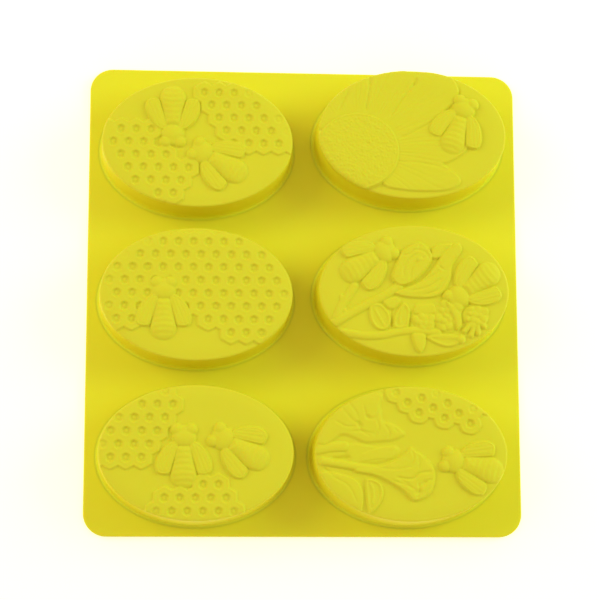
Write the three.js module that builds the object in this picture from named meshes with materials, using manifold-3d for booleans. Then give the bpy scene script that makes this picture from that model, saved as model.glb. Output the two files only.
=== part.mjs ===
// Six-cup silicone soap mould, lying on its open face with the closed ends of its cups up.
// Millimetres, +Z up. The origin is the middle of the open face, +X across the two columns of
// cups, +Y along them.
//
// The real mould is one soft moulding. Its sheet, the wall of each cup and the patterned floor
// of each cup are separate solids here, and they meet on two shared planes.

import * as THREE from 'three';
import { mergeVertices } from 'three/addons/utils/BufferGeometryUtils.js';
import Module from 'manifold-3d';

const wasm = await Module();
wasm.setup();

// Cups: the oval is measured outside, where the floor's smooth ground would meet the wall.
const cupLength = 82.5;
const cupWidth = 57.5;
const cupHeight = 22; // open face to the smooth ground of the floor
const cupDraft = 0.9; // how far the wall spreads on each side on its way down to the sheet
const wallThickness = 2.2;
const floorThickness = 2.2;
const floorEdgeRound = 1.3;
const footFillet = 1.5;
const cavityFillet = 1.5;

// Sheet: a rounded rectangle around two columns of three cups.
const sheetThickness = 2.5;
const sheetCornerRadius = 10;
const sheetEdgeRound = 0.6;
const columnGap = 10.7;
const rowGap = 11.25;
const sideMargin = 7.15;
const endMargin = 6;

// Pictures on the floors: how high each thing stands above the ground.
const combRise = 0.9;
const bodyRise = 1.9;
const wingRise = 1.2;
const eyeRise = 1.3;
const petalRise = 0.8;
const bloomRise = 1.4;
const leafRise = 0.8;
const stemRise = 0.9;
const reliefInset = 0.7; // smooth border outside the pictures, on top
const recessInset = 0.3; // smooth border outside the recessed pictures, in the cavity
const sink = 0.5; // how far a raised shape reaches into the floor it stands on

// Honeycomb: hexagonal cells with a corner towards +Y, and a tapered pit in each.
const combPitch = 6.5;
const combBorder = 1.65; // comb left around the outermost cells
const pitMouthRadius = 2.4;
const pitBottomRadius = 1.7;

// The pictures are drawn for an oval of this size, and are stretched with the cup.
const pictureLength = 82.5;
const pictureWidth = 57.5;

const ovalSegments = 40;
const AXIS = null;
const RIM = Infinity;
const overcut = 1;
const flatness = 0.01;

const siliconeYellow = 0xeae333;

const columnPitch = cupLength + columnGap;
const rowPitch = cupWidth + rowGap;
const sheetWidth = 2 * cupLength + columnGap + 2 * sideMargin;
const sheetLength = 3 * cupWidth + 2 * rowGap + 2 * endMargin;
const floorUnderside = cupHeight - floorThickness;
const stretch = [cupLength / pictureLength, cupWidth / pictureWidth];

// A closed geometry as a solid that can be joined and cut.
function solid(geometry) {
  geometry.deleteAttribute('normal');
  geometry.deleteAttribute('uv');
  const merged = mergeVertices(geometry);
  const corners = merged.index.array;
  const faces = [];
  for (let i = 0; i < corners.length; i += 3) {
    const [a, b, c] = corners.slice(i, i + 3);
    if (a !== b && b !== c && c !== a) faces.push(a, b, c);
  }
  return new wasm.Manifold(new wasm.Mesh({
    numProp: 3,
    vertProperties: Float32Array.from(merged.attributes.position.array),
    triVerts: Uint32Array.from(faces),
  }));
}

function geometryOf(shape) {
  const { vertProperties, triVerts } = shape.getMesh();
  const geometry = new THREE.BufferGeometry();
  geometry.setAttribute('position', new THREE.BufferAttribute(vertProperties, 3));
  geometry.setIndex(new THREE.BufferAttribute(triVerts, 1));
  geometry.computeVertexNormals();
  return geometry;
}

const joined = (solids) => solids.reduce((whole, piece) => whole.add(piece));

// The same solid with each flat face in as few triangles as it needs.
const tidied = (shape) => shape.asOriginal().simplify(flatness);

// How far the outside of the wall stands out from the cup's oval at a height.
function outsideAt(z) {
  return cupDraft * (cupHeight - z) / (cupHeight - sheetThickness);
}

// A quarter round in two steps from one [offset, z] point to another. bulge is the corner that
// the round softens.
function quarterRound(from, bulge, to) {
  const ease = Math.SQRT1_2;
  const middle = [0, 1].map((k) => bulge[k] + (1 - ease) * (from[k] + to[k] - 2 * bulge[k]));
  return [from, middle, to];
}

// A disc or ring with the cup's plan. Each profile point is [offset, z]: how far it stands out
// from the cup's oval, and its height. The profile runs anticlockwise with the axis on its left.
function oval(profile) {
  const halfWidth = cupWidth / 2;
  const lengthening = (cupLength - cupWidth) / 2;
  const points = profile.map(([offset, z]) => (
    new THREE.Vector2(offset === AXIS ? 0 : halfWidth + offset, z)
  ));
  const geometry = new THREE.LatheGeometry(points, ovalSegments);
  geometry.rotateX(Math.PI / 2);
  const position = geometry.attributes.position;
  for (let i = 0; i < position.count; i += 1) {
    const x = position.getX(i);
    const radius = Math.hypot(x, position.getY(i));
    if (radius > sink) position.setX(i, x + lengthening * x / radius);
  }
  return solid(geometry);
}

function ovalColumn(offset, bottom, top) {
  return oval([[AXIS, bottom], [offset, bottom], [offset, top], [AXIS, top]]);
}

// Raised shapes. Each is made on the plane z = 0, in the picture's own frame.

function dome([x, y], [halfX, halfY], turn, rise, rings = 6) {
  const geometry = new THREE.SphereGeometry(1, 8, rings);
  geometry.rotateX(Math.PI / 2);
  geometry.scale(halfX, halfY, rise);
  geometry.rotateZ(THREE.MathUtils.degToRad(turn));
  geometry.translate(x, y, 0);
  return solid(geometry);
}

function plate(outline, rise) {
  const shape = new THREE.Shape(outline.map((point) => new THREE.Vector2(point.x, point.y)));
  const geometry = new THREE.ExtrudeGeometry(shape, { depth: sink + rise, bevelEnabled: false });
  geometry.translate(0, 0, -sink);
  return solid(geometry);
}

function curveThrough(points, closed) {
  const places = points.map(([x, y]) => new THREE.Vector3(x, y, 0));
  return new THREE.CatmullRomCurve3(places, closed);
}

// A flat-topped shape with a smooth closed outline through a few points.
function pad(points, rise) {
  return plate(curveThrough(points, true).getPoints(Math.ceil(1.5 * points.length)).slice(1), rise);
}

// A flat-topped band of one width along a smooth route.
function band(route, width, rise) {
  const curve = curveThrough(route, false);
  const steps = route.length;
  const left = [];
  const right = [];
  for (let i = 0; i <= steps; i += 1) {
    const point = curve.getPoint(i / steps);
    const along = curve.getTangent(i / steps);
    const across = new THREE.Vector3(-along.y, along.x, 0).multiplyScalar(width / 2);
    left.push(point.clone().add(across));
    right.unshift(point.clone().sub(across));
  }
  return plate([...left, ...right], rise);
}

// A bee seen from above, head towards +Y before it is turned, its thorax at the given place.
function bee(place, turn) {
  const pieces = [
    dome([-3, 3.5], [2.5, 2.5], 0, eyeRise, 4),
    dome([3, 3.5], [2.5, 2.5], 0, eyeRise, 4),
    dome([0, 0], [4.9, 4.6], 0, bodyRise),
    dome([0, -13.2], [5.2, 8.6], 0, bodyRise),
    dome([-7.7, -9.4], [3.6, 7.3], -22, wingRise, 4),
    dome([7.7, -9.4], [3.6, 7.3], 22, wingRise, 4),
  ];
  return joined(pieces).rotate([0, 0, turn]).translate([...place, 0]);
}

// A patch of honeycomb. Each run is [row, first column, last column]; RIM runs it to the edge
// of the oval. Odd rows stand half a cell to the right.
function combCells({ origin, turn, runs }) {
  const middle = new THREE.Vector2(...origin);
  const mostCells = Math.ceil(pictureLength / combPitch);
  const cells = [];
  for (const [row, first, last] of runs) {
    const offset = row % 2 === 0 ? 0 : 0.5;
    const end = Math.min(last, mostCells);
    for (let column = Math.max(first, -mostCells); column <= end; column += 1) {
      const cell = new THREE.Vector2((column + offset) * combPitch, row * combPitch * Math.sqrt(0.75));
      cell.rotateAround(new THREE.Vector2(), THREE.MathUtils.degToRad(turn)).add(middle);
      const reachX = cell.x / (pictureLength / 2 - pitMouthRadius);
      const reachY = cell.y / (pictureWidth / 2 - pitMouthRadius);
      if (Math.hypot(reachX, reachY) < 1) cells.push(cell);
    }
  }
  return cells;
}

function hexagon(cell, turn, bottomRadius, topRadius, bottom, top) {
  const geometry = new THREE.CylinderGeometry(topRadius, bottomRadius, top - bottom, 6);
  geometry.rotateX(Math.PI / 2);
  geometry.rotateZ(THREE.MathUtils.degToRad(turn));
  geometry.translate(cell.x, cell.y, (top + bottom) / 2);
  return solid(geometry);
}

function combPlate(comb) {
  const radius = (combPitch / 2 + combBorder) / Math.sqrt(0.75);
  return tidied(joined(combCells(comb).map((cell) => (
    hexagon(cell, comb.turn, radius, radius, -sink, combRise)
  ))));
}

// The pits keep their taper past the comb's top, so that they cut it cleanly.
function combPits(comb) {
  const flare = (pitMouthRadius - pitBottomRadius) / combRise;
  return joined(combCells(comb).map((cell) => (
    hexagon(cell, comb.turn, pitBottomRadius, pitMouthRadius + flare * overcut, 0, combRise + overcut)
  )));
}

// The six pictures. Places are from the middle of the oval. Things are joined in any order, and
// a comb's pits are cut before the bees are put on it.

const beePairPicture = {
  combs: [
    {
      origin: [-0.6, -6.3],
      turn: 0,
      runs: [
        [2, -RIM, -3], [1, -RIM, -4], [0, -RIM, -2], [-1, -RIM, -1], [-2, -RIM, -1], [-3, -RIM, -2],
        [5, 0, RIM], [4, 1, RIM], [3, 1, RIM], [2, 2, RIM], [1, 2, RIM],
      ],
    },
  ],
  raised: () => [
    bee([-11.4, 3.2], 180),
    bee([2.5, -5], 60),
  ],
};

const sunflowerPicture = {
  combs: [],
  raised: () => [
    dome([-24.5, -7.5], [19, 17], 0, bloomRise),
    pad([[-40, 3], [-37, 12], [-28.5, 21], [-31.5, 11], [-29, 6]], petalRise),
    pad([[-30.5, 9], [-26, 21.5], [-23, 25], [-19.3, 23], [-20.6, 15], [-22, 7]], petalRise),
    pad([[-21, 6], [-19, 16], [-17, 23.5], [-10, 28], [-2, 28], [0.8, 22], [-3.5, 16], [-10, 6]], petalRise),
    pad([[-11, 5], [-3, 14], [2, 22], [9, 27], [17, 25.5], [20, 20], [15, 11.5], [5, 3], [-8, -2]], petalRise),
    pad([[-8, 0], [6, 2.5], [16, 3], [24, -2], [23, -9], [10, -14.2], [-8, -12.5]], petalRise),
    pad([[-10, -14], [2, -14.4], [14, -15.8], [20.5, -20], [18, -27], [2, -27], [-12, -23]], petalRise),
    bee([22, 10.6], -17),
  ],
};

const honeycombPicture = {
  combs: [
    {
      origin: [-1.4, 0],
      turn: 0,
      runs: [
        [4, -RIM, RIM], [3, -RIM, RIM], [2, -RIM, RIM], [1, -RIM, RIM], [0, -RIM, RIM], [-1, -RIM, RIM],
        [-2, -RIM, -4], [-2, 1, RIM], [-3, 2, RIM],
      ],
    },
  ],
  raised: () => [
    bee([-13.9, 2.4], 0),
  ],
};

const tulipPicture = {
  combs: [],
  raised: () => [
    bee([-12.5, 17], -58),
    bee([19.5, -2.5], 128),
    pad([[-10, 5], [-8.5, 10.5], [-6, 16.5], [-2, 20], [3, 21.3], [7, 18], [7.8, 13], [1, 4.5], [-6, 1.5]], bloomRise),
    pad([[-9, -1], [2, 4], [8, 10], [13, 17.5], [19, 21.2], [20.5, 18], [16.2, 11], [15.5, 4], [10, -2.8], [-2, -3.6]],
      petalRise),
    pad([[7.6, 14], [8.5, 19], [12.5, 20.6], [17, 20], [12, 14.5]], petalRise),
    band([[-8, 1], [-14, -3], [-21, -6.6], [-28, -10.6], [-34.5, -14.5]], 3.6, stemRise),
    band([[-26, 1.5], [-29, -3], [-32, -8], [-33.5, -12]], 3.8, stemRise),
    band([[-31, -18.6], [-22, -20], [-14, -19.7], [-6, -18], [2, -17.6], [10, -18.4]], 3.2, stemRise),
    pad([[-19.5, -6.8], [-15, -5.8], [-11.2, -9.4], [-10.4, -14], [-13, -17.8], [-17.2, -16.8], [-19.8, -12]], leafRise),
    pad([[-4.5, -5.3], [-8, -9], [-9.6, -14], [-8.4, -17], [-3, -16], [-2, -9]], leafRise),
    pad([[-14, -5], [-10, -9], [-6, -5.4], [-8, -2.6]], leafRise),
    pad([[5, -20.3], [9, -23.3], [14, -24.6], [19, -23], [21, -20.6], [16, -19], [9, -18.8]], leafRise),
    pad([[-1.4, -19], [-0.4, -24.5], [2, -27.6], [4.2, -24], [4.2, -19]], leafRise),
    dome([14.2, -11.2], [5.9, 7.4], 0, bloomRise),
    dome([4, -13.6], [4.6, 3.8], 0, bloomRise),
    dome([26, -11.6], [5.4, 5.4], 0, bloomRise),
    dome([27.2, -17], [4.2, 3.4], 50, petalRise),
    dome([19.8, -21.2], [2, 2], 0, bloomRise),
  ],
};

const combCornerPicture = {
  combs: [
    {
      origin: [2.95, -13.6],
      turn: 0,
      runs: [
        [6, -RIM, -2], [5, -RIM, -3], [4, -RIM, -3], [3, -RIM, -4], [2, -RIM, -4],
        [0, 0, 1], [-1, -3, 1], [-2, -RIM, RIM],
      ],
    },
  ],
  raised: () => [
    bee([-5.2, 6.2], 0),
    bee([11, 6], 60),
  ],
};

const lilyPicture = {
  combs: [
    {
      origin: [3.2, 17.3],
      turn: 18.5,
      runs: [[2, -1, RIM], [1, -1, RIM], [0, 0, RIM], [-1, 1, RIM], [-2, 3, 3]],
    },
  ],
  raised: () => [
    bee([17.7, -3], 77),
    pad([[-40, 4.5], [-35.5, 2.8], [-31, 6.6], [-26, 6.8], [-18, 4.2], [-8, 5], [-3, 7.6], [-5.5, 12], [-12, 14],
      [-12.5, 20], [-14, 24.5], [-24, 23.5], [-36, 14]], petalRise),
    pad([[-26, 4.6], [-16, 3.6], [-4, 3.4], [-6, -1.5], [-16, -5], [-26, -4.4]], leafRise),
    pad([[-37, -2.6], [-26, -4.9], [-15, -5.2], [-5, -1.6], [0, 3], [6, -1.6], [9.8, -8], [8.8, -15], [5, -19.4],
      [0, -20.2], [-4, -16], [-9, -12.8], [-16, -9.6], [-26, -8]], bloomRise),
    band([[-40, 1], [-34, 2], [-28, 1.5]], 4.4, stemRise),
    pad([[-37, -7.6], [-27, -9], [-21.6, -13], [-20.2, -19], [-22.5, -24], [-34, -17]], leafRise),
    pad([[-19.3, -10.4], [-14, -11.8], [-12.2, -16.5], [-14, -22], [-18.4, -24.6], [-19.6, -17]], leafRise),
  ],
};

// Cups: column and row count from the middle of the sheet. The real cups stand slightly out of
// step, and shift says by how much.
const cups = [
  { name: 'bee_pair_cup', column: -1, row: 1, shift: [-0.9, -2.75], picture: beePairPicture },
  { name: 'sunflower_cup', column: 1, row: 1, shift: [-0.1, 2.25], picture: sunflowerPicture },
  { name: 'honeycomb_cup', column: -1, row: 0, shift: [-0.9, -1], picture: honeycombPicture },
  { name: 'tulip_cup', column: 1, row: 0, shift: [-0.1, 1.5], picture: tulipPicture },
  { name: 'comb_corner_cup', column: -1, row: -1, shift: [-0.4, -0.25], picture: combCornerPicture },
  { name: 'lily_cup', column: 1, row: -1, shift: [-2.1, -0.25], picture: lilyPicture },
];

function cupPlace({ column, row, shift }) {
  return [column * columnPitch / 2 + shift[0], row * rowPitch + shift[1]];
}

// The picture's raised shapes, standing on a ground at the given height and cut off at an oval.
function relief(picture, pitted, ground, borderOffset) {
  const combs = picture.combs.map((comb) => (
    pitted ? combPlate(comb).subtract(combPits(comb)) : combPlate(comb)
  ));
  const shapes = tidied(joined([...combs, ...picture.raised()]));
  const clip = ovalColumn(borderOffset, ground - floorThickness, ground + cupHeight);
  return shapes.scale([...stretch, 1]).translate([0, 0, ground]).intersect(clip);
}

// The wall: drafted outside and inside, with a fillet at its foot and one in the cavity's corner.
function cupWall() {
  const footTop = sheetThickness + footFillet;
  const filletFoot = floorUnderside - cavityFillet;
  const foot = quarterRound(
    [outsideAt(sheetThickness) + footFillet, sheetThickness],
    [outsideAt(footTop), sheetThickness],
    [outsideAt(footTop), footTop],
  );
  const corner = quarterRound(
    [outsideAt(floorUnderside) - wallThickness - cavityFillet, floorUnderside],
    [outsideAt(filletFoot) - wallThickness, floorUnderside],
    [outsideAt(filletFoot) - wallThickness, filletFoot],
  );
  const mouth = [outsideAt(sheetThickness) - wallThickness, sheetThickness];
  return oval([mouth, ...foot, [outsideAt(floorUnderside), floorUnderside], ...corner, mouth]);
}

// The floor: a disc with a rounded edge, the picture raised on its top and the same picture
// recessed in its underside, so that the floor keeps about one thickness.
function cupFloor(picture) {
  const roundFoot = cupHeight - floorEdgeRound;
  const edge = quarterRound(
    [outsideAt(roundFoot), roundFoot],
    [outsideAt(roundFoot), cupHeight],
    [-floorEdgeRound, cupHeight],
  );
  const disc = oval([
    [AXIS, floorUnderside], [outsideAt(floorUnderside), floorUnderside], ...edge, [AXIS, cupHeight],
  ]);
  const recessOffset = outsideAt(floorUnderside) - wallThickness - cavityFillet - recessInset;
  const raised = relief(picture, true, cupHeight, -reliefInset);
  const recessed = relief(picture, false, floorUnderside, recessOffset);
  return tidied(disc.add(raised).subtract(recessed));
}

// The sheet: a rounded plate with softened edges and an oval hole under each cup.
function sheetPlate() {
  const [right, top, radius] = [sheetWidth / 2, sheetLength / 2, sheetCornerRadius];
  const outline = new THREE.Shape();
  outline.absarc(right - radius, top - radius, radius, 0, Math.PI / 2);
  outline.absarc(radius - right, top - radius, radius, Math.PI / 2, Math.PI);
  outline.absarc(radius - right, radius - top, radius, Math.PI, 1.5 * Math.PI);
  outline.absarc(right - radius, radius - top, radius, 1.5 * Math.PI, 2 * Math.PI);
  const geometry = new THREE.ExtrudeGeometry(outline, {
    depth: sheetThickness - 2 * sheetEdgeRound,
    bevelThickness: sheetEdgeRound,
    bevelSize: sheetEdgeRound,
    bevelOffset: -sheetEdgeRound,
    bevelSegments: 2,
    curveSegments: 6,
  });
  geometry.translate(0, 0, sheetEdgeRound);
  const mouth = outsideAt(sheetThickness) - wallThickness;
  const holes = cups.map((cup) => (
    ovalColumn(mouth, -overcut, sheetThickness + overcut).translate([...cupPlace(cup), 0])
  ));
  return tidied(solid(geometry).subtract(joined(holes)));
}

function part(name, shape) {
  const material = new THREE.MeshStandardMaterial({ color: siliconeYellow, roughness: 0.5, metalness: 0 });
  const mesh = new THREE.Mesh(geometryOf(shape), material);
  mesh.name = name;
  return mesh;
}

const mould = new THREE.Group();
mould.add(part('sheet', sheetPlate()));
for (const cup of cups) {
  const group = new THREE.Group();
  group.position.set(...cupPlace(cup), 0);
  group.add(part(`${cup.name}_wall`, cupWall()));
  group.add(part(`${cup.name}_floor`, cupFloor(cup.picture)));
  mould.add(group);
}

export default mould;
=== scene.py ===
"""Six-cup silicone soap mould, lying on its open face with the closed ends of its cups up.

A Blender add-on that is run as a script. The sheet and the six cups are closed surfaces worked
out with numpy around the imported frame. Inside the functions for shapes a length is in
millimetres, x runs across the two columns of cups, y along them and z up from the open face.
Materials, lights and the camera are in metres.
"""

import math

import bpy
import numpy as np
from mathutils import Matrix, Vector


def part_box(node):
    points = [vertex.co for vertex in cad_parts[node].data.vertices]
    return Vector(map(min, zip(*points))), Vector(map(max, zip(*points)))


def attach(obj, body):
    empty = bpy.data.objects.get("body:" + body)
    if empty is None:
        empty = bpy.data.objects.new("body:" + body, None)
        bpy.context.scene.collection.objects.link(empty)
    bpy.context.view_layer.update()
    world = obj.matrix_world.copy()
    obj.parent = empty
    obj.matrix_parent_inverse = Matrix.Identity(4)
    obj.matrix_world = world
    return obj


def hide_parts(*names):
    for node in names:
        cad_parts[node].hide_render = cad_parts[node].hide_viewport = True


bl_info = {
    "name": "Silicone soap mould",
    "version": (1, 0, 0),
    "blender": (4, 5, 0),
    "location": "3D View > Sidebar > Soap Mould",
    "description": "Builds the sheet and cups of a six-cup silicone soap mould, and a studio",
    "category": "Add Mesh",
}

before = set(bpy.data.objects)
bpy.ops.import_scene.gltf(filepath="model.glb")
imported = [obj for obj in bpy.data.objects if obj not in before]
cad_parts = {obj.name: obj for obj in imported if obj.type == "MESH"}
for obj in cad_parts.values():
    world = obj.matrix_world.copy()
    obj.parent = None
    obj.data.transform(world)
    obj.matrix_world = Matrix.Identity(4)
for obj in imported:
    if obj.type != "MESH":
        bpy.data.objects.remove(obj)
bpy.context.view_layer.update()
sheet_low, sheet_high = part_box("sheet")

MM = 0.001
GOLDEN_ANGLE = math.radians(137.508)
CUPS = ("bee_pair", "sunflower", "honeycomb", "tulip", "comb_corner", "lily")

# The oval that the six pictures are drawn for, as half its length and half its width.
PICTURE_HALF = (41.25, 28.75)

# Cells over a cup's top, along and across. The underside has half as many each way.
TOP_CELLS = (272, 196)
# Cells along one side of a cup's share of the sheet, and rings from its hole to its border.
SHEET_CELLS = 60
SHEET_RINGS = 9
# Straight pieces down a floor's rounded edge.
EDGE_STEPS = 8


# ---------------------------------------------------------------------------------------------
# Heights of the pictures


def smoothstep(t):
    """An even climb from 0 to 1: 3t squared less 2t cubed, held at its ends."""
    t = np.clip(t, 0.0, 1.0)
    return t * t * (3.0 - 2.0 * t)


def bell(distance, width):
    """A bell curve: e to the power of minus the square of distance over width."""
    return np.exp(-((distance / width) ** 2))


def dome(u, v, half_u, half_v, rise):
    """Half an ellipsoid: rise times the root of 1 less the squares of u and v over their halves.

    Outside its outline it is below everything, so that a maximum leaves it out.
    """
    left = 1.0 - (u / half_u) ** 2 - (v / half_v) ** 2
    return np.where(left > 0.0, rise * np.sqrt(np.maximum(left, 0.0)), -1.0)


def turned(x, y, place, degrees):
    """x and y measured from a place, along axes turned anticlockwise by some degrees."""
    c, s = math.cos(math.radians(degrees)), math.sin(math.radians(degrees))
    x, y = x - place[0], y - place[1]
    return c * x + s * y, c * y - s * x


def curve_through(points, closed, steps=6):
    """A smooth curve through points, as the ends of its straight pieces.

    Between two points it is the cubic whose slope at each is half the step between that point's
    neighbours.
    """
    p = np.array(points, float)
    if not closed:
        p = np.vstack([2 * p[0] - p[1], p, 2 * p[-1] - p[-2]])
    before, here, after, beyond = (np.roll(p, k, axis=0) for k in (1, 0, -1, -2))
    t = (np.arange(steps) / steps)[:, None, None]
    curve = 0.5 * (
        2 * here
        + (after - before) * t
        + (2 * before - 5 * here + 4 * after - beyond) * t**2
        + (3 * here - before - 3 * after + beyond) * t**3
    )
    curve = curve.transpose(1, 0, 2)
    if closed:
        loop = curve.reshape(-1, 2)
        return loop, np.roll(loop, -1, axis=0)
    line = np.vstack([curve[1:-2].reshape(-1, 2), p[-2]])
    return line[:-1], line[1:]


def distance_to(x, y, starts, ends):
    """Distance from each point to the nearest of some straight pieces.

    The foot on a piece is the start plus its direction times the share of the way along, held
    between 0 and 1.
    """
    run = ends - starts
    length = np.maximum((run**2).sum(1), 1e-12)
    px, py = x[..., None] - starts[:, 0], y[..., None] - starts[:, 1]
    share = np.clip((px * run[:, 0] + py * run[:, 1]) / length, 0.0, 1.0)
    return np.sqrt(((px - share * run[:, 0]) ** 2 + (py - share * run[:, 1]) ** 2).min(-1))


def is_inside(x, y, starts, ends):
    """Whether each point is inside a loop: a ray to its right crosses it an odd number of times."""
    rise = ends[:, 1] - starts[:, 1]
    rise = np.where(np.abs(rise) < 1e-9, 1e-9, rise)
    py = y[..., None] - starts[:, 1]
    spans = (py < 0) != (y[..., None] < ends[:, 1])
    at = starts[:, 0] + py / rise * (ends[:, 0] - starts[:, 0])
    return (spans & (x[..., None] < at)).sum(-1) % 2 == 1


def hexagonal(u, v, roundness):
    """Distance from the middle of a hexagon with corners towards v, as its sides measure it.

    It is the largest of the three projections on the sides' directions, mixed with the plain
    distance by the roundness, so 0 gives sharp corners and 1 a circle.
    """
    half, high = 0.5, math.sqrt(0.75)
    leaning = np.maximum(np.abs(half * u + high * v), np.abs(half * u - high * v))
    flat = np.maximum(np.abs(u), leaning)
    return (1.0 - roundness) * flat + roundness * np.hypot(u, v)


# Outlines of a bee seen from above, head towards +v: its right wing, and its abdomen.
WING = [
    (2.4, -1.2), (6.0, -1.8), (9.3, -4.8), (11.5, -8.9), (12.1, -12.2), (11.1, -15.0),
    (8.6, -15.9), (5.8, -15.3), (4.4, -11.5), (3.0, -7.0), (2.0, -3.4),
]
ABDOMEN_RIGHT = [(3.0, -3.6), (3.6, -6.0), (4.3, -10.0), (5.4, -14.4), (5.2, -17.5), (3.5, -20.3)]
ABDOMEN_LEFT = [(-u, v) for u, v in reversed(ABDOMEN_RIGHT)]
ABDOMEN = [(0.0, -3.0), *ABDOMEN_RIGHT, (0.0, -21.4), *ABDOMEN_LEFT]


def blended(softness, *heights):
    """The largest of some heights, with the creases between them filled: the softness times the
    logarithm of the sum of the exponentials of the heights over it."""
    return softness * np.log(sum(np.exp(height / softness) for height in heights))


def bee_heights(u, v):
    """Heights of a bee seen from above, head towards +v, its thorax in the middle.

    Domes for eyes, head and thorax. The abdomen swells from its outline towards its middle as
    the root of what a circle leaves, falls away at its tip and has shallow bands across it. A
    wing climbs by a smooth step at its outline, and has a groove inside it and two along it.
    """
    side = np.abs(u)
    eyes = dome(side - 2.95, v - 3.5, half_u=2.75, half_v=2.65, rise=1.65)
    head = dome(u, v - 2.8, half_u=3.4, half_v=2.6, rise=1.4)
    thorax = dome(u, v + 0.1, half_u=5.1, half_v=4.1, rise=2.0)
    front = blended(0.12, eyes, head, thorax)

    starts, ends = curve_through(ABDOMEN, closed=True)
    deep = distance_to(u, v, starts, ends)
    bowed = v + 0.03 * u**2
    band_height, band_pitch = 0.07, 2.4
    bands = band_height * np.cos((bowed + 5.2) * 2 * math.pi / band_pitch) * smoothstep(deep / 1.8)
    rise, tip_fall = 2.0, 0.7
    tip = tip_fall * smoothstep((-14.5 - bowed) / 6.0)
    round_up = np.sqrt(1.0 - (1.0 - np.clip(deep / 4.8, 0.0, 1.0)) ** 2)
    abdomen = np.where(is_inside(u, v, starts, ends), (rise - tip) * round_up + bands, -1.0)

    starts, ends = curve_through(WING, closed=True)
    deep = distance_to(side, v, starts, ends)
    lean = math.radians(23.0)
    from_middle_u, from_middle_v = side - 7.7, v + 9.2
    along = from_middle_u * math.sin(lean) - from_middle_v * math.cos(lean)
    half_width = 3.5 + 0.06 * along
    across = (from_middle_u * math.cos(lean) + from_middle_v * math.sin(lean)) / half_width
    veins = bell(deep - 1.35, 0.3) + bell(across + 0.18, 0.13) + bell(across - 0.24, 0.13)
    vein_depth, crown = 0.12, 0.35
    veins = vein_depth * veins * smoothstep((deep - 0.5) / 0.9)
    swell = crown * (1.0 - (1.0 - np.clip(deep / 3.4, 0.0, 1.0)) ** 2)
    wings = np.where(is_inside(side, v, starts, ends), smoothstep(deep / 0.8) + swell - veins, -1.0)
    return np.maximum.reduce([front, abdomen, wings])


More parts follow.
